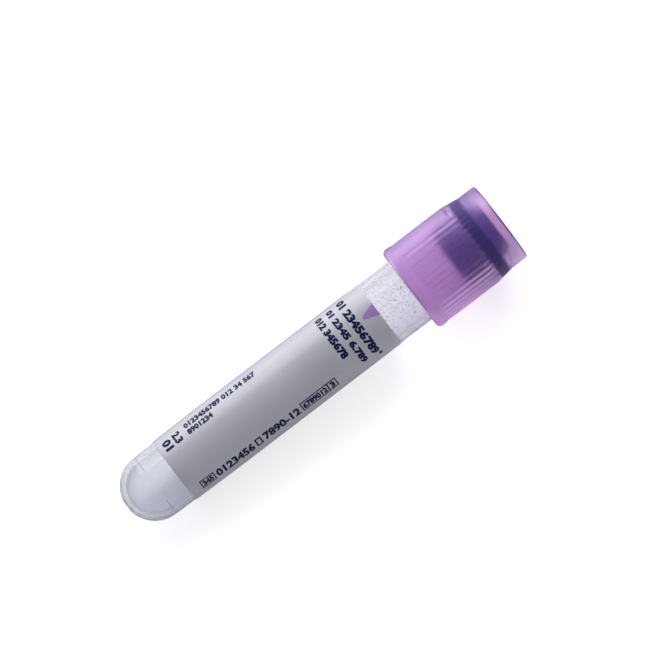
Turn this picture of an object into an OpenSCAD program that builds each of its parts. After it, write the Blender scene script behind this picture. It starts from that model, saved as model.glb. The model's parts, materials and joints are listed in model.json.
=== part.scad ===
// Evacuated blood collection tube with its label and two-piece safety closure, lying at rest.
//
// Every piece is drawn upright about the Z axis, with the tube's closed tip at height 0 and
// its rim at tube_length, and at_rest() then lays all of them down together. The tube lies
// along X on its rounded end and the lower edge of its closure, with the closure towards +X.
// Sizes are in millimetres and angles in degrees.

/* [Tube] */
// Length from the closed tip to the rim
tube_length = 75; // [65:0.5:100]
// Outside diameter of the straight body
body_od = 12.4; // [10.3:0.1:16]
// How much narrower the rounded end is than the body, on the radius
end_taper = 0.15; // [0.05:0.01:0.3]
// Height at which the body reaches its full diameter
body_from = 20; // [12:0.5:26]
// How much wider the rim is than the body, on the radius
rim_flare = 0.05; // [0.01:0.01:0.2]
// Length below the rim over which the body widens to it
flare_length = 15; // [5:0.5:20]
// Wall thickness
tube_wall = 1; // [0.7:0.05:1.2]
// Length of straight bore left below the plug
seat_margin = 2.7; // [0.5:0.1:6]
// Chamfer on the bore's mouth
mouth_chamfer = 0.25; // [0.1:0.05:0.4]
// Diameter of the shallow dimple at the closed tip, where the plastic was let in
dimple_od = 2.3; // [1.5:0.1:3.5]
// Depth of that dimple
dimple_depth = 0.3; // [0.15:0.05:0.5]
// Diameter of the sprue stub left in the dimple
stub_od = 0.8; // [0.4:0.1:1.2]

/* [Label] */
// Height of the label's lower edge
label_from = 10.3; // [8.5:0.1:19]
// Gap between the label's upper edge and the foot of the shield
label_gap = 6.6; // [1:0.1:12]
// Thickness of the label
label_thickness = 0.1; // [0.05:0.01:0.2]
// Thickness of its glue
label_glue = 0.02; // [0.01:0.01:0.05]
// Angle that the label wraps, which leaves a clear window for the rest
label_wrap = 315; // [240:1:345]
// Direction of the label's first edge, turned from straight down towards the back
label_turn = 112; // [0:1:359]

/* [Stopper] */
// How far the plug reaches into the tube
plug_depth = 5.3; // [4:0.1:7]
// Radial clearance between the plug and the bore
plug_clearance = 0.05; // [0.03:0.01:0.1]
// Round on the plug's lower edge
plug_round = 0.6; // [0.3:0.1:0.9]
// Diameter of the hollow under the plug
hollow_od = 6; // [4:0.1:7.5]
// Depth of that hollow
hollow_depth = 3.6; // [2:0.1:5]
// How far the flange stands out past the rim
flange_overhang = 0.45; // [0.35:0.05:0.8]
// Thickness of the flange that sits on the rim
flange_thickness = 2.2; // [1.2:0.1:3]
// Height of the cone above the flange
cone_height = 2.3; // [1.5:0.1:3.5]
// How much narrower the cone's top is than its foot, on the radius
cone_taper = 0.65; // [0.3:0.05:0.9]
// Depth of the dish in the stopper's top
dish_depth = 0.9; // [0.3:0.1:1.5]

/* [Shield] */
// Depth of the skirt below the rim
skirt_depth = 13.7; // [10:0.1:16]
// Wall thickness of the skirt, ribs included
skirt_wall = 1.55; // [1.1:0.05:2]
// Radial clearance between the skirt and the rim
skirt_clearance = 0.4; // [0.3:0.05:0.6]
// Height of the smooth band round the skirt's foot
band_height = 2.4; // [1.5:0.1:4]
// Round on the skirt's outer lower edge
foot_round = 0.9; // [0.4:0.1:1]
// Chamfer on its inner lower edge, which leads it over the rim
foot_chamfer = 0.25; // [0.1:0.05:0.4]
// Height of the ribs
rib_height = 0.22; // [0.1:0.01:0.3]
// Radius of a rib's rounded top
rib_round = 0.45; // [0.35:0.05:0.55]
// Angle from one rib to the next
rib_pitch = 8; // [7:0.5:9]
// Number of ribs in each of the two opposite groups
rib_count = 16; // [8:1:18]
// Direction of the smooth panel between the groups, turned as the label is
panel_turn = 135.5; // [0:0.5:359]
// Height of the straight collar at the top
collar_height = 3.3; // [2.5:0.1:4.5]
// Height of the shoulder that narrows the skirt to the collar
shoulder_height = 3.3; // [2:0.1:5]
// How much the collar is narrower than the skirt, on the radius
collar_step = 0.6; // [0.4:0.05:0.8]
// Round on the collar's top edge
top_round = 0.5; // [0.2:0.1:0.8]
// Thickness of the lip over the stopper
lip_thickness = 1.5; // [1:0.1:2.5]
// Diameter of the needle's opening in the lip
port_od = 8.4; // [6:0.1:9]
// Round on the opening's edge
port_round = 0.2; // [0.1:0.05:0.4]
// Radial clearance between the holding bead and the rim
bead_clearance = 0.17; // [0.12:0.01:0.25]
// Height of the bead that holds the stopper in
bead_height = 1; // [0.6:0.1:1.5]
// Clearance round the stopper inside the shield
pocket_clearance = 0.1; // [0.05:0.01:0.15]

/* [Hidden] */
$fn = 96;
overshoot = 0.01;

body_r = body_od / 2;
end_r = body_r - end_taper;
rim_r = body_r + rim_flare;
bore_r = rim_r - tube_wall;
well_r = end_r - tube_wall;
port_r = port_od / 2;

rim_z = tube_length;
flare_z = rim_z - flare_length;
foot_z = rim_z - plug_depth;
seat_z = foot_z - seat_margin;
flange_r = rim_r + flange_overhang;
flange_z = rim_z + flange_thickness;
cone_z = flange_z + cone_height;
cone_r = rim_r - cone_taper;
plug_r = bore_r - plug_clearance;
hollow_r = hollow_od / 2;
hollow_z = foot_z + hollow_depth;

skirt_z = rim_z - skirt_depth;
label_to = skirt_z - label_gap;
top_z = cone_z + lip_thickness;
collar_z = top_z - collar_height;
shoulder_z = collar_z - shoulder_height;
bore_skirt_r = rim_r + skirt_clearance;
band_r = bore_skirt_r + skirt_wall;
root_r = band_r - rib_height;
collar_r = band_r - collar_step;
bead_r = rim_r + bead_clearance;
pocket_r = flange_r + pocket_clearance;

// The tube touches the floor under the centre of its rounded end, and the closure under the
// centre of its foot's round. The tilt puts both at the floor: along * sin + across * cos is
// then the difference of their radii.
along = skirt_z + foot_round - end_r;
across = band_r - foot_round;
tilt = atan2(across, along) - asin((end_r - foot_round) / norm([along, across]));
tip_lift = end_r * (1 - sin(tilt));

// The two ends of the whole, along X, measured from the closed tip
dimple_r = dimple_od / 2;
dimple_z = end_r - sqrt(end_r * end_r - dimple_r * dimple_r);
low_x = dimple_z * cos(tilt) - dimple_r * sin(tilt);
high_x = (top_z - top_round) * cos(tilt) + (collar_r - top_round) * sin(tilt) + top_round;

// The stopper's top is dished as a shallow part of a sphere, as wide as the port
dish_r = (port_r * port_r + dish_depth * dish_depth) / (2 * dish_depth);
dish_z = cone_z - dish_depth + dish_r;
dish_angle = asin(port_r / dish_r);

// Lays the upright pieces down at rest, centred over the origin
module at_rest()
    translate([-(low_x + high_x) / 2, 0, tip_lift])
        rotate([0, 90 - tilt, 0])
            children();

// Points of an arc, from one angle to another
function arc(centre, radius, from, to, steps = 6) =
    [for (i = [0:steps])
        let (angle = from + (to - from) * i / steps)
            centre + radius * [cos(angle), sin(angle)]];

// Radius of the body's outside at a height
function body_radius(z) =
    z < body_from ? end_r + end_taper * (z - end_r) / (body_from - end_r)
    : z < flare_z ? body_r
    : body_r + rim_flare * (z - flare_z) / flare_length;

// Moulded plastic tube, closed by a round end
module tube_outside() {
    translate([0, 0, end_r])
        sphere(end_r);
    translate([0, 0, end_r])
        cylinder(h = body_from - end_r, r1 = end_r, r2 = body_r);
    translate([0, 0, body_from])
        cylinder(h = flare_z - body_from, r = body_r);
    translate([0, 0, flare_z])
        cylinder(h = flare_length, r1 = body_r, r2 = rim_r);
}

module tube_inside() {
    translate([0, 0, end_r])
        sphere(well_r);
    translate([0, 0, end_r])
        cylinder(h = seat_z - end_r, r1 = well_r, r2 = bore_r);
    translate([0, 0, seat_z])
        cylinder(h = rim_z - seat_z + overshoot, r = bore_r);
    translate([0, 0, rim_z - mouth_chamfer])
        cylinder(h = 2 * mouth_chamfer, r1 = bore_r, r2 = bore_r + 2 * mouth_chamfer);
}

module tube() {
    color([0.84, 0.85, 0.9, 0.5])
        at_rest() {
            difference() {
                tube_outside();
                tube_inside();
                cylinder(h = 2 * dimple_depth, r = dimple_r, center = true);
            }
            translate([0, 0, dimple_z])
                cylinder(h = dimple_depth, d = stub_od);
        }
}

// Glued paper label, a curved strip that stops short of meeting itself
module label() {
    near = label_glue;
    far = label_glue + label_thickness;
    color([0.93, 0.93, 0.95])
        at_rest()
            rotate([0, 0, label_turn])
                rotate_extrude(angle = label_wrap)
                    polygon([
                        [body_radius(label_from) + near, label_from],
                        [body_radius(label_from) + far, label_from],
                        [body_radius(body_from) + far, body_from],
                        [body_radius(label_to) + far, label_to],
                        [body_radius(label_to) + near, label_to],
                        [body_radius(body_from) + near, body_from]
                    ]);
}

// Rubber stopper: a hollow plug, a flange that seals on the rim, and a dished cone above it
module stopper() {
    color([0.16, 0.17, 0.33])
        at_rest()
            rotate_extrude()
                polygon(concat(
                    [[0, hollow_z], [hollow_r - plug_round, hollow_z]],
                    [[hollow_r, hollow_z - plug_round], [hollow_r, foot_z]],
                    arc([plug_r - plug_round, foot_z + plug_round], plug_round, -90, 0),
                    [[plug_r, rim_z], [flange_r, rim_z], [flange_r, flange_z]],
                    [[rim_r, flange_z], [cone_r, cone_z], [port_r, cone_z]],
                    arc([0, dish_z], dish_r, 270 + dish_angle, 270)
                ));
}

// One group of ribs, centred on the X axis, each a long thin rod sunk in the skirt
module rib_group()
    for (i = [0:rib_count - 1])
        rotate([0, 0, (i - (rib_count - 1) / 2) * rib_pitch])
            translate([band_r - rib_round, 0, skirt_z + band_height - overshoot])
                cylinder(h = collar_z - skirt_z - band_height + overshoot, r = rib_round, $fn = 24);

// Plastic shield: a skirt with ribs, a shoulder, and a collar whose lip holds the stopper
module shield() {
    bead_z = rim_z - pocket_clearance;
    color([0.72, 0.55, 0.82, 0.8])
        at_rest() {
            rotate_extrude()
                polygon(concat(
                    [[bore_skirt_r, skirt_z + foot_chamfer], [bore_skirt_r + foot_chamfer, skirt_z]],
                    arc([band_r - foot_round, skirt_z + foot_round], foot_round, -90, 0),
                    [[band_r, skirt_z + band_height - rib_height], [root_r, skirt_z + band_height]],
                    [[root_r, shoulder_z], [collar_r, collar_z]],
                    arc([collar_r - top_round, top_z - top_round], top_round, 0, 90),
                    arc([port_r + port_round, top_z - port_round], port_round, 90, 180, 3),
                    [[port_r, cone_z], [cone_r + pocket_clearance, cone_z]],
                    [[rim_r + pocket_clearance, flange_z], [pocket_r, flange_z]],
                    [[pocket_r, bead_z], [bead_r, bead_z], [bead_r, bead_z - bead_height / 2]],
                    [[bore_skirt_r, bead_z - bead_height]]
                ));
            intersection() {
                for (side = [90, 270])
                    rotate([0, 0, panel_turn + side])
                        rib_group();
                rotate_extrude()
                    polygon([
                        [root_r - rib_height, skirt_z],
                        [band_r + overshoot, skirt_z],
                        [band_r + overshoot, shoulder_z],
                        [collar_r, collar_z],
                        [collar_r - rib_height, collar_z]
                    ]);
            }
        }
}

tube();
label();
stopper();
shield();
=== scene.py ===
import json
import math

import bmesh
import bpy
import numpy as np
from mathutils import Matrix, Vector


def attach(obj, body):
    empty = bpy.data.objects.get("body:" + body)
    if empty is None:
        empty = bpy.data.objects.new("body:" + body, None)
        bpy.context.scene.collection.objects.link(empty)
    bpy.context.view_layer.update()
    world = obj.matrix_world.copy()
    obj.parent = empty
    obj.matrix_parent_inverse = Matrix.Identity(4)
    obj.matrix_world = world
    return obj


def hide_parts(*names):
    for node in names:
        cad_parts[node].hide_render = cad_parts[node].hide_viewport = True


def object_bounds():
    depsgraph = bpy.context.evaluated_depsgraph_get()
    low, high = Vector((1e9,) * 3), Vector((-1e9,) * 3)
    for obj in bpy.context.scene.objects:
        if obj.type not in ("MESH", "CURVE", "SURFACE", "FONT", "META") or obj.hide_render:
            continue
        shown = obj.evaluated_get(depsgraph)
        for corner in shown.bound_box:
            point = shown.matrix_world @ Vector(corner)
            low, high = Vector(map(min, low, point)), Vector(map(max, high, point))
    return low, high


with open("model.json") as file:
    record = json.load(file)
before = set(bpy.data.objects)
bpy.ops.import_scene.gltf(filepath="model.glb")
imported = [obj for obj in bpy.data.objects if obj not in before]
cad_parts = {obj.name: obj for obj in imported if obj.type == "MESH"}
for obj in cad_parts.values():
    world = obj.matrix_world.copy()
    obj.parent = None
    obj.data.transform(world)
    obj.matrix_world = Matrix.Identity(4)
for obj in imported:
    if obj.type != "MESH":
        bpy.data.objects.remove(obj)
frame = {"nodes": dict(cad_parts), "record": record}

cad_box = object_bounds()


# ---- How the tube lies -------------------------------------------------------------------------
# Every piece is drawn upright in millimetres, with the tube's closed tip at height 0 and the
# closure on top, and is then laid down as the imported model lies. The rack mount gives the line:
# it ends at the closed tip and points away from the closure.
mounts = {mount["name"]: mount for mount in frame["record"]["mounts"]}
rack = mounts["rack_body"]
along = -np.array(rack["axis"])
sideways = np.array([0.0, 1.0, 0.0])
down = np.cross(sideways, along)
tip = np.array(rack["pos_m"]) - along * rack["dims"]["length_mm"] / 1000


def lay(points):
    """Upright points laid down: the tip, plus x downwards, y sideways and z along the tube."""
    return tip + points @ np.array([down, sideways, along]) / 1000


# ---- Tube --------------------------------------------------------------------------------------
# Clear polyester, injection moulded in one piece with a round end. The plastic was let in at the
# tip, where a shallow dimple keeps the stub that it leaves off the bench. Outside and inside widen
# a little towards the mouth, so that the tube comes out of its mould.
def points_of(mesh):
    """The mesh's points, one row each."""
    points = np.empty(3 * len(mesh.vertices), np.float32)
    mesh.vertices.foreach_get("co", points)
    return points.reshape(-1, 3)


def extent(node):
    """Lowest height, highest height and largest radius of a CAD node in its upright place."""
    points = points_of(frame["nodes"][node].data)
    x, y, z = np.array([down, sideways, along]) @ (points - tip).T * 1000
    return z.min(), z.max(), np.hypot(x, y).max()


_, rim_z, rim_r = extent("tube")
body_r = rack["dims"]["r_mm"]
end_r = body_r - 0.15
wall = 1.0
well_step = 0.07
bore_r = rim_r - wall
well_r = end_r - wall
body_from = 20
flare_from = rim_z - 15
bore_from = rim_z - 8
dimple_r = 1.15
dimple_depth = 0.3
stub_r = 0.4
dimple_z = end_r - math.sqrt(end_r**2 - dimple_r**2)
tube_columns = 192


def outline(corners, steps=6):
    """Points through corners given as (radius, height, round). Each round is an arc that touches
    both sides of its corner, so its centre lies on the line that halves the corner's angle."""
    corners = np.array(corners, float)
    points = [corners[:1, :2]]
    for before, (r, z, size), after in zip(corners, corners[1:], corners[2:]):
        corner = np.array([r, z])
        ways = [(side[:2] - corner) / np.linalg.norm(side[:2] - corner) for side in (before, after)]
        half = math.acos(np.clip(ways[0] @ ways[1], -1, 1)) / 2
        if size == 0 or half > math.radians(89):
            points.append(corner[None])
            continue
        middle = (ways[0] + ways[1]) / np.linalg.norm(ways[0] + ways[1])
        centre = corner + middle * size / math.sin(half)
        first, last = (corner + way * size / math.tan(half) - centre for way in ways)
        start = math.atan2(first[1], first[0])
        sweep = (math.atan2(last[1], last[0]) - start + math.pi) % (2 * math.pi) - math.pi
        angles = start + sweep * np.linspace(0, 1, steps + 1)
        points.append(centre + size * np.column_stack([np.cos(angles), np.sin(angles)]))
    return np.concatenate(points + [corners[-1:, :2]])


def ball(radius, first, last, steps):
    """Corners along a sphere about the round end's centre, by angle from straight down: the
    radius times the angle's sine outwards, and times its cosine downwards."""
    angles = np.radians(np.linspace(first, last, steps))
    return [(radius * math.sin(a), end_r - radius * math.cos(a), 0) for a in angles]


dimple_edge = math.degrees(math.asin(dimple_r / end_r)) + 2
tube_outline = outline([
    (0, dimple_z, 0),
    (stub_r, dimple_z, 0.08),
    (stub_r, dimple_depth, 0.06),
    (dimple_r, dimple_depth, 0.1),
    (dimple_r, dimple_z, 0.08),
    *ball(end_r, dimple_edge, 90, 28),
    (end_r + 0.1, body_from - 4, 0),
    (body_r, body_from, 0),
    (body_r, flare_from, 0),
    (rim_r, rim_z, 0.3),
    (bore_r, rim_z, 0.35),
    (bore_r, bore_from, 0),
    (well_r, end_r + 0.3, 0.05),
    (well_r - well_step, end_r + 0.2, 0.05),
    *ball(well_r - well_step, 90, 0, 24),
])


def turned(profile, columns, swell=0):
    """Grid of points of a turned shape: each profile point at every angle round the axis, moved
    out by swell, which may change with the angle and from one profile point to the next."""
    angle = np.arange(columns) * 2 * math.pi / columns
    radius = profile[:, :1] + swell
    height = np.broadcast_to(profile[:, 1:], (len(profile), columns))
    return np.stack([radius * np.cos(angle), radius * np.sin(angle), height], axis=-1)


def smooth_piece(name, mesh, merge=1e-7):
    """An object that shows the mesh smoothly shaded but for its sharp edges, with points less than
    merge apart, in metres, joined."""
    shape = bmesh.new()
    shape.from_mesh(mesh)
    bmesh.ops.remove_doubles(shape, verts=shape.verts, dist=merge)
    shape.to_mesh(mesh)
    shape.free()
    mesh.shade_smooth()
    mesh.set_sharp_from_angle(angle=math.radians(50))
    piece = bpy.data.objects.new(name, mesh)
    bpy.context.scene.collection.objects.link(piece)
    return piece


def skin(name, grid, wrap_rows=False, wrap_columns=True):
    """Mesh over a grid of upright points: a face joins each point to the next along its row and
    its column. Points that coincide, at a pole or a seam, are merged."""
    rows, columns = grid.shape[:2]
    index = np.arange(rows * columns).reshape(rows, columns)
    if wrap_rows:
        index = np.vstack([index, index[:1]])
    if wrap_columns:
        index = np.hstack([index, index[:, :1]])
    quads = np.stack([index[:-1, :-1], index[:-1, 1:], index[1:, 1:], index[1:, :-1]], axis=-1)
    mesh = bpy.data.meshes.new(name)
    mesh.from_pydata(lay(grid.reshape(-1, 3)), [], quads.reshape(-1, 4).tolist())
    return smooth_piece(name, mesh)


def mark(piece, name, values):
    """Stores a number at each of the piece's points, for its material to read."""
    attribute = piece.data.attributes.new(name, "FLOAT", "POINT")
    attribute.data.foreach_set("value", values.astype(np.float32))


tube = skin("clear_tube", turned(tube_outline, tube_columns))

# The plastic near the tip, where it was let in, cools slowest and turns a little milky.
milky_to = 8
clear_from = 30
height = (points_of(tube.data) - tip) @ along * 1000
mark(tube, "round_end", np.interp(height, [milky_to, clear_from], [1, 0]))


def feed(tree, source, socket):
    """Links another node's output to a socket, or gives the socket a value."""
    if isinstance(source, bpy.types.NodeSocket):
        tree.links.new(source, socket)
    else:
        socket.default_value = source


def arithmetic(tree, operation, *sources):
    """The result of a Math node on numbers and other nodes' outputs."""
    made = tree.nodes.new("ShaderNodeMath")
    made.operation = operation
    for source, socket in zip(sources, made.inputs):
        feed(tree, source, socket)
    return made.outputs[0]


class Finish:
    """A material under construction: a Principled surface, and the nodes that vary it."""

    def __init__(self, name, **sockets):
        self.material = bpy.data.materials.new(name)
        self.material.use_nodes = True
        self.tree = self.material.node_tree
        self.surface = self.tree.nodes["Principled BSDF"]
        self.output = self.tree.nodes["Material Output"]
        for socket, value in sockets.items():
            self.surface.inputs[socket.replace("_", " ")].default_value = value

    def node(self, kind, links=(), **values):
        """A new node with its input values set, and links given as (output, input) pairs."""
        made = self.tree.nodes.new("ShaderNode" + kind)
        for socket, value in values.items():
            made.inputs[socket.replace("_", " ")].default_value = value
        for source, socket in links:
            self.tree.links.new(source, made.inputs[socket])
        return made

    def noise(self, size, detail=2.0, stretch=(1, 1, 1)):
        """Noise with grains of about that size in millimetres, longer where stretch is small."""
        place = self.node("TexCoord").outputs["Object"]
        place = self.node("Mapping", [(place, "Vector")], Scale=stretch).outputs["Vector"]
        grains = self.node("TexNoise", [(place, "Vector")], Scale=1000 / size, Detail=detail)
        return grains.outputs["Fac"]

    def ramp(self, fac, stops):
        """A ramp through (position, value or colour) stops."""
        ramp = self.node("ValToRGB", [(fac, "Fac")])
        elements = ramp.color_ramp.elements
        while len(elements) < len(stops):
            elements.new(0.5)
        for element, (position, value) in zip(elements, stops):
            element.position = position
            element.color = (*value, 1) if isinstance(value, tuple) else (value,) * 3 + (1,)
        return ramp.outputs["Color"]

    def colour(self, source):
        """Links an output to the surface's colour."""
        self.tree.links.new(source, self.surface.inputs["Base Color"])

    def roughness(self, source):
        """Links an output to the surface's roughness."""
        self.tree.links.new(source, self.surface.inputs["Roughness"])

    def bump(self, source, depth):
        """Relief of that depth in millimetres."""
        bump = self.node("Bump", [(source, "Height")], Distance=depth / 1000, Strength=1.0)
        self.tree.links.new(bump.outputs["Normal"], self.surface.inputs["Normal"])

    def marked(self, name):
        """The number that mark() stored on the piece."""
        attribute = self.node("Attribute")
        attribute.attribute_name = name
        return attribute.outputs["Fac"]

    def mix(self, kind, share, first, second, blend="MIX"):
        """The result of a Mix node. The kind is Float or Color."""
        made = self.node("Mix")
        made.data_type = {"Float": "FLOAT", "Color": "RGBA"}[kind]
        made.blend_type = blend
        sockets = {socket.identifier: socket for socket in made.inputs}
        for name, source in (("Factor_Float", share), ("A_" + kind, first), ("B_" + kind, second)):
            feed(self.tree, source, sockets[name])
        return next(socket for socket in made.outputs if socket.identifier == "Result_" + kind)

    def between(self, share, first, second):
        """A number that goes from the first to the second as the share goes from 0 to 1."""
        return self.mix("Float", share, first, second)

    def tinted(self, source, share, tint):
        """A colour multiplied by a tint, in full where the share is 1."""
        return self.mix("Color", share, source, (*tint, 1), "MULTIPLY")

    def towards_edges(self, most, least=0.0):
        """A number that rises from least, where the surface is seen square on, to most above it
        where it is seen along itself, as the way through the plastic gets longer."""
        slant = self.node("LayerWeight", Blend=0.5).outputs["Facing"]
        square = arithmetic(self.tree, "MULTIPLY", slant, slant)
        return arithmetic(self.tree, "MULTIPLY_ADD", square, most, least)

    def mixed_in(self, shader, share):
        """Mixes a shader into what the output shows. The share is a number or an output."""
        shown = self.output.inputs["Surface"].links[0].from_socket
        made = self.node("MixShader", [(shown, 1), (shader.outputs["BSDF"], 2)])
        feed(self.tree, share, made.inputs["Fac"])
        self.tree.links.new(made.outputs["Shader"], self.output.inputs["Surface"])

    def clouded(self, share, colour):
        """Fine grains in the plastic scatter a share of the light back as it comes in."""
        self.mixed_in(self.node("BsdfDiffuse", Color=(*colour, 1)), share)

    def let_lamps_through(self, tint):
        """Light from the lamps passes through with a tint, instead of stopping at the surface.
        The tint is a colour with its fourth value, or an output."""
        clear = self.node("BsdfTransparent")
        feed(self.tree, tint, clear.inputs["Color"])
        self.mixed_in(clear, self.node("LightPath").outputs["Is Shadow Ray"])


polyester = Finish(
    "clear_polyester",
    Base_Color=(0.91, 0.918, 0.953, 1),
    Transmission_Weight=1.0,
    IOR=1.5,
)
polyester.roughness(polyester.ramp(polyester.noise(6), [(0.3, 0.05), (0.7, 0.09)]))
polyester.bump(polyester.noise(0.5, 3), 0.0015)
round_end = polyester.marked("round_end")
milky_share = polyester.towards_edges(0.9, polyester.between(round_end, 0.02, 0.06))
polyester.clouded(milky_share, (0.55, 0.56, 0.68))
polyester.let_lamps_through(
    polyester.ramp(round_end, [(0.0, (0.9, 0.9, 0.93)), (1.0, (0.6, 0.6, 0.67))]))
tube.data.materials.append(polyester.material)
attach(tube, "tube")
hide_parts("tube")


# ---- Additive ----------------------------------------------------------------------------------
# The anticoagulant is sprayed on the tube's inner wall and dries there as fine pale droplets, more
# of them high in the tube. Each is a low dome on the wall.
droplet_count = 6500
droplet_sizes = (0.045, 0.105)
off_wall = 0.004
droplet_from = 22
droplet_to = bore_from + 1
rng = np.random.default_rng(12)


def droplets(count):
    """Domes on the inner wall, each 14 points: a foot and a ring of six with the dome's full
    radius on the wall, a ring of six with 0.7 of it that stands at 0.15 of the radius, and a top
    that stands at 0.22."""
    height = droplet_from + (droplet_to - droplet_from) * rng.random(count) ** 0.6
    turn = rng.random(count) * 2 * math.pi
    least, most = droplet_sizes
    size = least + (most - least) * rng.random(count) ** 2
    share = np.clip((height - end_r) / (bore_from - end_r), 0, 1)
    floor = well_r + (bore_r - well_r) * share - off_wall
    ring = np.arange(6) * math.pi / 3
    reach = np.concatenate([[0], np.ones(6), np.full(6, 0.7), [0]])
    angle = np.concatenate([[0], ring, ring, [0]])
    rise = np.concatenate([[0], np.zeros(6), np.full(6, 0.15), [0.22]])
    across = size[:, None] * reach * np.cos(angle)
    up = size[:, None] * reach * np.sin(angle) * (1 + 0.5 * rng.random(count)[:, None])
    radius = floor[:, None] - size[:, None] * rise
    spin = turn[:, None] + across / floor[:, None]
    points = np.stack([radius * np.cos(spin), radius * np.sin(spin), height[:, None] + up], -1)
    near, far = np.arange(6), (np.arange(6) + 1) % 6
    first = 14 * np.arange(count)[:, None, None]
    foot = np.column_stack([np.zeros(6, int), 1 + near, 1 + far])
    top = np.column_stack([7 + near, np.full(6, 13), 7 + far])
    threes = (np.vstack([foot, top]) + first).reshape(-1, 3)
    fours = (np.column_stack([1 + near, 7 + near, 7 + far, 1 + far]) + first).reshape(-1, 4)
    return points.reshape(-1, 3), threes.tolist() + fours.tolist()


points, faces = droplets(droplet_count)
droplet_mesh = bpy.data.meshes.new("additive_droplets")
droplet_mesh.from_pydata(lay(points), [], faces)
additive = smooth_piece("additive_droplets", droplet_mesh)
crystals = Finish("dried_additive", Roughness=0.35, Transmission_Weight=0.3, IOR=1.4)
crystals.colour(crystals.ramp(
    crystals.noise(0.4), [(0.4, (0.9, 0.9, 0.92)), (0.6, (1.0, 1.0, 1.0))]))
additive.data.materials.append(crystals.material)
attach(additive, "tube")


# ---- Label -------------------------------------------------------------------------------------
# A satin paper label, wrapped round the body and glued, that stops short of meeting itself so that
# a clear strip is left to see the blood's level through.
label_from, label_to, label_r = extent("label")
label_thickness = 0.1
glue = 0.02
label_start = 112
label_wrap = 315
label_rows = 60
label_columns = 211


def body_radius(height):
    """Outer radius of the tube at a height: a straight taper from the round end up to body_from,
    and one size above it."""
    return np.interp(height, [end_r, body_from], [end_r, body_r])


def label_grid():
    """The label as a flattened loop: up its outer face and down its inner face, with round
    edges. Its thickness falls to nothing at the two ends, as a circle does, which closes them."""
    half = label_thickness / 2
    edge = np.radians(np.linspace(-90, 90, 7))
    rise = np.linspace(label_from + half, label_to - half, label_rows)
    side = np.ones(label_rows)
    out = np.concatenate([side, -np.sin(edge)[1:-1], -side, np.sin(edge)[1:-1]])
    height = np.concatenate([
        rise, label_to - half + half * np.cos(edge)[1:-1],
        rise[::-1], label_from + half - half * np.cos(edge)[1:-1],
    ])
    turn = np.linspace(0, 1, label_columns) * label_wrap
    bend = np.clip(np.minimum(turn, label_wrap - turn) * math.pi / 180 * body_r / half, 0, 1)
    thin = np.sqrt(1 - (1 - bend) ** 2)
    middle = body_radius(height) + glue + half
    radius = middle[:, None] + half * out[:, None] * thin
    angle = np.radians(label_start + turn)
    return np.stack([
        radius * np.cos(angle), radius * np.sin(angle),
        np.broadcast_to(height[:, None], radius.shape),
    ], -1)


label = skin("paper_label", label_grid(), wrap_rows=True, wrap_columns=False)
paper = Finish("satin_paper", Specular_IOR_Level=0.5, Coat_Weight=0.6, Coat_Roughness=0.3)
paper.colour(paper.ramp(
    paper.noise(9, 4), [(0.3, (0.555, 0.553, 0.625)), (0.7, (0.605, 0.603, 0.675))]))
paper.roughness(paper.ramp(paper.noise(0.3), [(0.2, 0.3), (0.8, 0.4)]))
paper.bump(paper.noise(0.12, 4, (1, 0.5, 1)), 0.003)
label.data.materials.append(paper.material)
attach(label, "tube")
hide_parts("label")


# ---- Printing ----------------------------------------------------------------------------------
# Ink printed on the label: dark blue numbers, some boxed, with an empty box among them, and in
# lavender a pointer at the upper edge and a stripe beside the clear strip. It is laid out flat, in
# millimetres round the label (u) and up it (v), and then wrapped on.
front_turn = 205
ink_height = 0.012
above_paper = 0.002
print_r = label_r


def arc(*angles):
    """Distances round the label, in millimetres, of angles in degrees from its front."""
    return [math.radians(angle) * print_r for angle in angles]


def add_block(shape, u, v):
    """A flat bar from u[0] to u[1] and v[0] to v[1]."""
    size = Matrix.Diagonal((u[1] - u[0], v[1] - v[0], ink_height, 1))
    place = Matrix.Translation(((u[0] + u[1]) / 2, (v[0] + v[1]) / 2, ink_height / 2))
    bmesh.ops.create_cube(shape, size=1, matrix=place @ size)


def add_frame(shape, u, v, line):
    """A line of that width just inside a box, in one piece. Its section is a rectangle, and each
    of the section's corners runs round the box as a ring of four points."""
    rings = [
        [shape.verts.new((x, y, height)) for x, y in (
            (u[0] + inset, v[0] + inset), (u[1] - inset, v[0] + inset),
            (u[1] - inset, v[1] - inset), (u[0] + inset, v[1] - inset))]
        for inset, height in ((0, 0), (0, ink_height), (line, ink_height), (line, 0))
    ]
    for ring, following in zip(rings, rings[1:] + rings[:1]):
        for near, far in ((0, 1), (1, 2), (2, 3), (3, 0)):
            shape.faces.new((ring[near], ring[far], following[far], following[near]))


def add_numbers(shape, numbers, u, v, weight, upwards=False):
    """Numbers that fill a box: written across the label, or upwards with their tops to the left.
    The weight is how far their outline is thickened, as a share of the letters' size."""
    letters = bpy.data.curves.new("numbers", "FONT")
    letters.body = numbers
    letters.offset = weight
    letters.extrude = 0.5
    letters.resolution_u = 2  # on finer curves the thickened outline crosses itself
    carrier = bpy.data.objects.new("numbers", letters)
    bpy.context.scene.collection.objects.link(carrier)
    flat = bpy.data.meshes.new_from_object(carrier)
    points = points_of(flat)
    low, high = points.min(0), points.max(0)
    share = (points - low) / (high - low)
    if upwards:
        share = np.column_stack([1 - share[:, 1], share[:, 0], share[:, 2]])
    corner = np.array([u[0], v[0], 0])
    placed = corner + share * [u[1] - u[0], v[1] - v[0], ink_height]
    flat.vertices.foreach_set("co", placed.astype(np.float32).ravel())
    shape.from_mesh(flat)
    bpy.data.objects.remove(carrier)
    bpy.data.curves.remove(letters)
    bpy.data.meshes.remove(flat)


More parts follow.
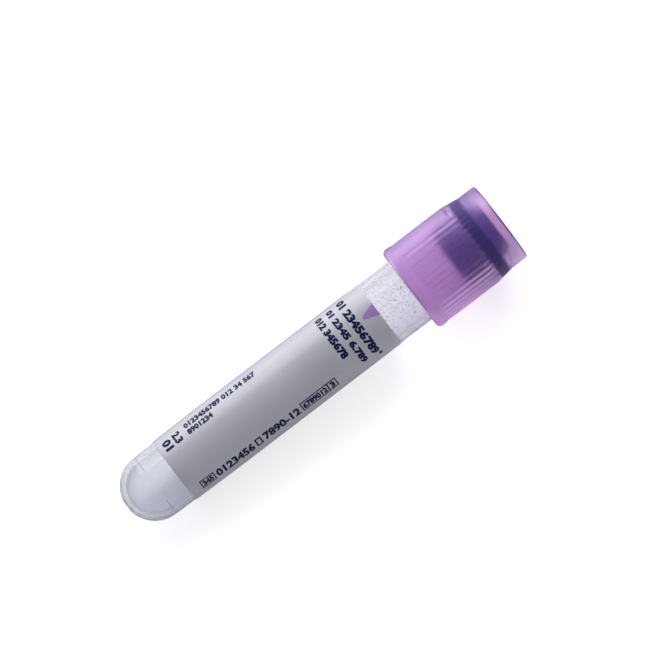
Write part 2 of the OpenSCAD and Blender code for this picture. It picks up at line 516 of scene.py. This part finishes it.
def wrapped(name, shape, strip=0.29):
    """The flat layout cut into upright strips of that width, and at body_from, and bent round the
    label: u becomes an angle, v the height, and the third number is added to the radius."""
    bmesh.ops.remove_doubles(shape, verts=shape.verts, dist=1e-5)
    bmesh.ops.recalc_face_normals(shape, faces=shape.faces)
    reach = [vertex.co.x for vertex in shape.verts]
    cuts = [((cut, 0, 0), (1, 0, 0)) for cut in np.arange(min(reach) + strip, max(reach), strip)]
    for point, normal in cuts + [((0, body_from, 0), (0, 1, 0))]:
        everything = shape.verts[:] + shape.edges[:] + shape.faces[:]
        bmesh.ops.bisect_plane(shape, geom=everything, plane_co=point, plane_no=normal)
    mesh = bpy.data.meshes.new(name)
    shape.to_mesh(mesh)
    shape.free()
    u, v, w = points_of(mesh).T
    radius = body_radius(v) + glue + label_thickness + above_paper + w
    angle = math.radians(front_turn) + u / print_r
    bent = np.column_stack([radius * np.cos(angle), radius * np.sin(angle), v])
    mesh.vertices.foreach_set("co", lay(bent).astype(np.float32).ravel())
    mesh.update()
    return smooth_piece(name, mesh, merge=1e-9)


# Each row: the numbers, their angles from and to, their heights from and to, and their weight.
across_label = [
    ("01 23456789", (-67, 51), (49.45, 51.17), 0.06),
    ("01 2345 6.789", (-64, 52), (47.17, 48.6), 0.065),
    ("012 345678", (-64, 23), (44.83, 46.37), 0.065),
    ("2.3", (-55, -31.5), (13.5, 15.1), 0.055),
    ("01", (-54, -31.5), (11.3, 13.05), 0.055),
]
up_label = [
    ("0123456", (41, 60), (15.85, 23.9), 0.045),
    ("7890-12", (40, 58.5), (26.1, 33.85), 0.045),
    ("345", (44, 58), (12.95, 15.1), 0.055),
    ("6789012", (41, 55.5), (34.65, 39.75), 0.055),
    ("3", (41, 55.5), (40.5, 41.4), 0.055),
    ("0123456789 012 34 567", (-59.5, -46), (16.2, 31.5), 0.055),
    ("8901234", (-43, -31.5), (16.2, 21.5), 0.055),
]
# Each row: the box's angles from and to, its heights from and to, and the width of its line.
boxes = [
    ((41, 61), (12.55, 15.5), 0.22),
    ((38, 58), (34.3, 40.15), 0.22),
    ((38, 58), (39.97, 41.9), 0.22),
    ((41, 59), (24.35, 25.65), 0.3),
]
ink_shape = bmesh.new()
for rows, upwards in ((across_label, False), (up_label, True)):
    for numbers, angles, heights, weight in rows:
        add_numbers(ink_shape, numbers, arc(*angles), heights, weight, upwards)
for angles, heights, line in boxes:
    add_frame(ink_shape, arc(*angles), heights, line)
add_block(ink_shape, arc(54, 60), (50.6, 51.2))
ink = wrapped("label_numbers", ink_shape)
blue_ink = Finish("blue_ink", Roughness=0.5, Specular_IOR_Level=0.15)
blue_ink.colour(blue_ink.ramp(
    blue_ink.noise(0.25, 3), [(0.35, (0.001, 0.004, 0.055)), (0.75, (0.004, 0.01, 0.1))]))
ink.data.materials.append(blue_ink.material)
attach(ink, "tube")

# The pointer is a tapered tab with a round tip, and the stripe ends in a point at its top.
pointer_u = arc(-10.2)[0]
pointer_half = 1.2
pointer_depth = 2.8
pointer_tip_r = 0.45
stripe_u = arc(-91.5, -77)
stripe_top = label_to - 1.6
stripe_shoulder = stripe_top - 2.2


def add_field(shape, edge):
    """A flat field inside an edge of (u, v) points, as thick as the ink."""
    face = shape.faces.new([shape.verts.new((u, v, 0)) for u, v in edge])
    face.normal_update()
    if face.normal.z < 0:
        face.normal_flip()
    raised = bmesh.ops.extrude_face_region(shape, geom=[face], use_keep_orig=True)
    top = [item for item in raised["geom"] if isinstance(item, bmesh.types.BMVert)]
    bmesh.ops.translate(shape, verts=top, vec=(0, 0, ink_height))


round_tip = np.radians(np.linspace(-15, -165, 9))
tip_centre = [0, label_to - pointer_depth + pointer_tip_r]
tab = np.vstack([
    [(-pointer_half, label_to), (pointer_half, label_to)],
    tip_centre + pointer_tip_r * np.column_stack([np.cos(round_tip), np.sin(round_tip)]),
]) + [pointer_u, 0]
field_shape = bmesh.new()
add_field(field_shape, tab)
add_field(field_shape, [
    (stripe_u[0], label_from), (stripe_u[1], label_from), (stripe_u[1], stripe_shoulder),
    (sum(stripe_u) / 2, stripe_top), (stripe_u[0], stripe_shoulder),
])
fields = wrapped("label_fields", field_shape)
lavender_ink = Finish("lavender_ink", Roughness=0.45)
lavender_ink.colour(lavender_ink.ramp(
    lavender_ink.noise(0.3, 3), [(0.3, (0.4, 0.2, 0.62)), (0.7, (0.46, 0.25, 0.68))]))
fields.data.materials.append(lavender_ink.material)
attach(fields, "tube")


# ---- Stopper -----------------------------------------------------------------------------------
# Dark rubber, moulded in one piece: a hollow plug that seals the bore, a flange that sits on the
# rim, and a cone above it whose dished top the needle goes through. It is a squeeze larger than
# the room it has, so that it seals.
plug_z, cone_z, flange_r = extent("stopper")
squeeze = 0.01
plug_r = bore_r + squeeze
flange_z = rim_z + 2.2
cone_r = rim_r - 0.65
port_r = mounts["needle_port"]["dims"]["r_mm"]
hollow_r = 3.0
hollow_z = plug_z + 3.6
dish_depth = 0.9
stopper_columns = 160


def dish(depth, radius, top, steps):
    """Corners from the rim of a shallow round dish to its middle. Where the radius is a share of
    the rim's, the dish lies below the top by the depth times one less the share's square."""
    share = np.linspace(1, 0, steps)
    return [(radius * s, top - depth * (1 - s * s), 0) for s in share]


stopper_outline = outline([
    (0, hollow_z, 0),
    (hollow_r, hollow_z, 0.6),
    (hollow_r, plug_z, 0.15),
    (plug_r, plug_z, 0.6),
    (plug_r, rim_z - squeeze, 0.05),
    (flange_r, rim_z - squeeze, 0.2),
    (flange_r, flange_z, 0.25),
    (cone_r, cone_z, 0.2),
    *dish(dish_depth, port_r, cone_z, 10),
])
stopper = skin("rubber_stopper", turned(stopper_outline, stopper_columns))
rubber = Finish("dark_rubber", Specular_IOR_Level=0.12)
rubber.colour(rubber.ramp(
    rubber.noise(1.5, 4), [(0.3, (0.008, 0.007, 0.075)), (0.7, (0.014, 0.012, 0.095))]))
rubber.roughness(rubber.ramp(rubber.noise(0.6), [(0.3, 0.5), (0.7, 0.65)]))
rubber.bump(rubber.noise(0.3, 3), 0.01)
stopper.data.materials.append(rubber.material)
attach(stopper, "closure")
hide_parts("stopper")


# ---- Shield ------------------------------------------------------------------------------------
# Translucent lavender plastic, moulded in one piece: a skirt with two groups of reeds for grip and
# smooth panels between them, a shoulder, and a collar. The collar's lip and a bead inside hold the
# stopper. The mould's core is polished, so the inside is glossier than the satin outside.
skirt_z, top_z, band_r = extent("shield")
bore_skirt_r = rim_r + 0.4
reed_height = 0.16
root_r = band_r - reed_height
band_z = skirt_z + 2.4
collar_r = band_r - 0.6
collar_z = top_z - 3.3
shoulder_z = collar_z - 3.3
bead_r = rim_r + 0.17
bead_z = rim_z - 0.1
cone_room = 0.1
reed_pitch = 8
reed_count = 16
panel_turn = 135.5
shield_columns = 540

shield_outline = outline([
    (bore_skirt_r, skirt_z + 1, 0),
    (bore_skirt_r, skirt_z, 0.25),
    (band_r, skirt_z, 0.9),
    (band_r, band_z - 0.9, 0.4),
    (root_r, band_z, 0.4),
    *[(root_r, z, 0) for z in np.linspace(band_z + 0.4, shoulder_z - 0.6, 12)],
    (root_r, shoulder_z, 0.4),
    *[(root_r + (collar_r - root_r) * t, shoulder_z + (collar_z - shoulder_z) * t, 0)
      for t in np.linspace(0.15, 0.85, 9)],
    (collar_r, collar_z, 0.4),
    (collar_r, top_z, 0.5),
    (port_r, top_z, 0.2),
    (port_r, cone_z - squeeze, 0.05),
    (cone_r + cone_room, cone_z - squeeze, 0.05),
    (flange_r - squeeze, flange_z + 0.05, 0.1),
    (flange_r - squeeze, bead_z, 0.05),
    (bead_r, bead_z, 0.1),
    (bead_r, bead_z - 0.5, 0.1),
    (bore_skirt_r, bead_z - 1, 0.1),
    (bore_skirt_r, bead_z - 1.5, 0),
])


def reeds(profile):
    """How far the reeds stand out at each profile point and angle. Round the skirt a reed is half
    of one less a cosine, 0 between reeds and 1 on top. Up the skirt it starts above the band and
    fades out along the shoulder. Nothing stands out on the inside."""
    angle = np.arange(shield_columns) * 360 / shield_columns
    from_group = (angle - panel_turn) % 180 - 90
    within = np.abs(from_group) < reed_count * reed_pitch / 2
    wave = 0.5 - 0.5 * np.cos(2 * math.pi * from_group / reed_pitch)
    round_skirt = np.where(within, wave, 0)
    r, z = profile.T
    start = np.clip((z - band_z + 0.6) / 1.2, 0, 1)
    fade = np.clip((collar_z - 0.3 - z) / (collar_z - shoulder_z), 0, 1)
    outside = r > collar_r - 0.05
    up_skirt = np.where(outside, start * fade, 0)
    return reed_height * up_skirt[:, None] * round_skirt


shield_grid = turned(shield_outline, shield_columns, reeds(shield_outline))
shield = skin("shield_with_reeds", shield_grid, wrap_rows=True)
r, z = shield_outline.T
polish = (r < flange_r) & (z > skirt_z + 0.3) & (z < cone_z + 0.01)
mark(shield, "polish", np.repeat(polish, shield_columns))

lavender = Finish(
    "lavender_plastic",
    Transmission_Weight=1.0,
    IOR=1.5,
    Specular_Tint=(0.35, 0.2, 0.5, 1),
)
mottle = lavender.ramp(
    lavender.noise(5, 2), [(0.3, (0.95, 0.675, 0.87)), (0.7, (0.96, 0.705, 0.89))])
lavender.colour(lavender.tinted(mottle, lavender.towards_edges(1.0), (0.65, 0.5, 0.7)))
satin = lavender.ramp(lavender.noise(0.8), [(0.3, 0.38), (0.7, 0.46)])
lavender.roughness(lavender.between(lavender.marked("polish"), satin, 0.1))
lavender.bump(lavender.noise(0.25, 3), 0.006)
lavender.clouded(0.12, (0.3, 0.2, 0.9))
lavender.let_lamps_through((1.0, 0.89, 0.97, 1))
shield.data.materials.append(lavender.material)
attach(shield, "closure")
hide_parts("shield")


# ---- Table, light and camera -------------------------------------------------------------------
# A pale table top, a large soft lamp behind and above the tube, and a soft sky. The camera looks
# square to the tube's length, from in front and above, and is rolled so that the closure is high
# on the right. The table glows a little, so that its top stays white round the tube's shadow.
view_height = 65
view_roll = 37.4
view_distance = 1.2
frame_width = 0.1111
centre_shift = (0.014, -0.0635)
table_reach = 1.5
glow_straight = 0.6
glow_in_plastic = 0.28
sky_on_object = 0.34
sky_in_plastic = 0.7
lamp_way = np.array([0.35, 0.8, 0.5])
lamp_distance = 0.9
lamp_size = 1.2
lamp_power = 10
middle = tip + along * (top_z / 2) / 1000

back = np.array([0, -math.cos(math.radians(view_height)), math.sin(math.radians(view_height))])
back -= along * (back @ along)
back /= np.linalg.norm(back)
across = np.cross(back, along)
roll = math.radians(view_roll)
right = math.cos(roll) * along - math.sin(roll) * across
up = math.sin(roll) * along + math.cos(roll) * across

camera = bpy.data.objects.new("camera", bpy.data.cameras.new("camera"))
camera.data.lens = camera.data.sensor_width * view_distance / frame_width
target = middle + (centre_shift[0] * right - centre_shift[1] * up) * frame_width
camera.matrix_world = Matrix((
    (right[0], up[0], back[0], target[0] + back[0] * view_distance),
    (right[1], up[1], back[1], target[1] + back[1] * view_distance),
    (right[2], up[2], back[2], target[2] + back[2] * view_distance),
    (0, 0, 0, 1),
))
bpy.context.scene.collection.objects.link(camera)
bpy.context.scene.camera = camera

table_mesh = bpy.data.meshes.new("table_top")
table_corners = [(-1, -1), (1, -1), (1, 1), (-1, 1)]
table_mesh.from_pydata(
    [(x * table_reach, y * table_reach, cad_box[0].z) for x, y in table_corners],
    [], [(0, 1, 2, 3)])
table = bpy.data.objects.new("table_top", table_mesh)
bpy.context.scene.collection.objects.link(table)
table_top = Finish(
    "table_top",
    Base_Color=(0.95, 0.95, 0.95, 1),
    Roughness=0.7,
    Specular_IOR_Level=0.2,
    Emission_Color=(1, 1, 1, 1),
)
rays = table_top.node("LightPath").outputs
glow = arithmetic(table_top.tree, "MULTIPLY", rays["Is Camera Ray"], glow_straight)
glow = arithmetic(
    table_top.tree, "MULTIPLY_ADD", rays["Is Transmission Ray"], glow_in_plastic, glow)
feed(table_top.tree, glow, table_top.surface.inputs["Emission Strength"])
table.data.materials.append(table_top.material)

# The sky is white where it is seen straight, a little dimmer where it is seen in the plastic or
# through it, and lights the object at a lower level.
world = bpy.data.worlds.new("studio")
world.use_nodes = True
sky = world.node_tree.nodes["Background"]
sky.inputs["Color"].default_value = (0.97, 0.98, 1, 1)
rays = world.node_tree.nodes.new("ShaderNodeLightPath").outputs
bent = arithmetic(world.node_tree, "MAXIMUM", rays["Is Transmission Ray"], rays["Is Glossy Ray"])
level = arithmetic(
    world.node_tree, "MULTIPLY_ADD", bent, sky_in_plastic - sky_on_object, sky_on_object)
level = arithmetic(
    world.node_tree, "MULTIPLY_ADD", rays["Is Camera Ray"], 1 - sky_on_object, level)
feed(world.node_tree, level, sky.inputs["Strength"])
bpy.context.scene.world = world

lamp = bpy.data.lights.new("back_light", "AREA")
lamp.energy = lamp_power
lamp.size = lamp_size
lamp_holder = bpy.data.objects.new("back_light", lamp)
lamp_way /= np.linalg.norm(lamp_way)
lamp_turn = Vector(lamp_way).to_track_quat("Z", "Y").to_matrix().to_4x4()
lamp_holder.matrix_world = Matrix.Translation(middle + lamp_way * lamp_distance) @ lamp_turn
lamp_holder.visible_transmission = False
bpy.context.scene.collection.objects.link(lamp_holder)
bpy.context.scene.view_settings.view_transform = "Standard"
